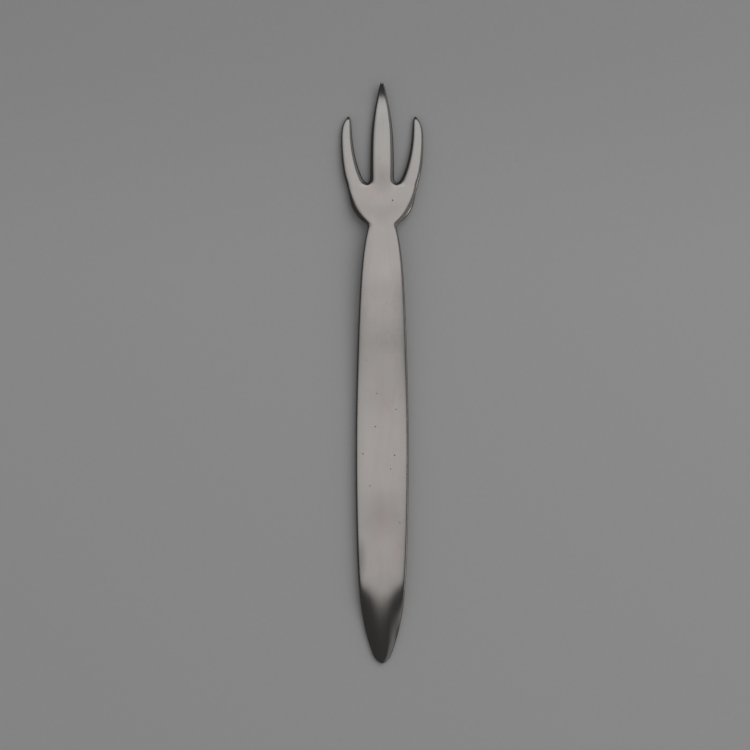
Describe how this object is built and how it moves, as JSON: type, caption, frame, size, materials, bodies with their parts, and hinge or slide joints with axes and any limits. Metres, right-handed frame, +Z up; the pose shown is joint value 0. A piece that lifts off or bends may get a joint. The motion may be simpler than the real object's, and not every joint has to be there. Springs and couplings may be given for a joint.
{
  "type": "oyster fork",
  "caption": "One-piece stainless steel oyster fork with a flat leaf-shaped handle, a narrow neck and a trident head whose outer tines curve inwards.",
  "frame": {"origin": "on the table plane, under the middle of the fork's length and width", "axes": "+X across the fork to the right, +Y along it from the handle to the tines, +Z up out of the upper face"},
  "size_m": [0.0214, 0.1501, 0.0046],
  "materials": {
    "steel": "satin"
  },
  "bodies": {
    "root": {"fork": "steel"}
  },
  "joints": []
}
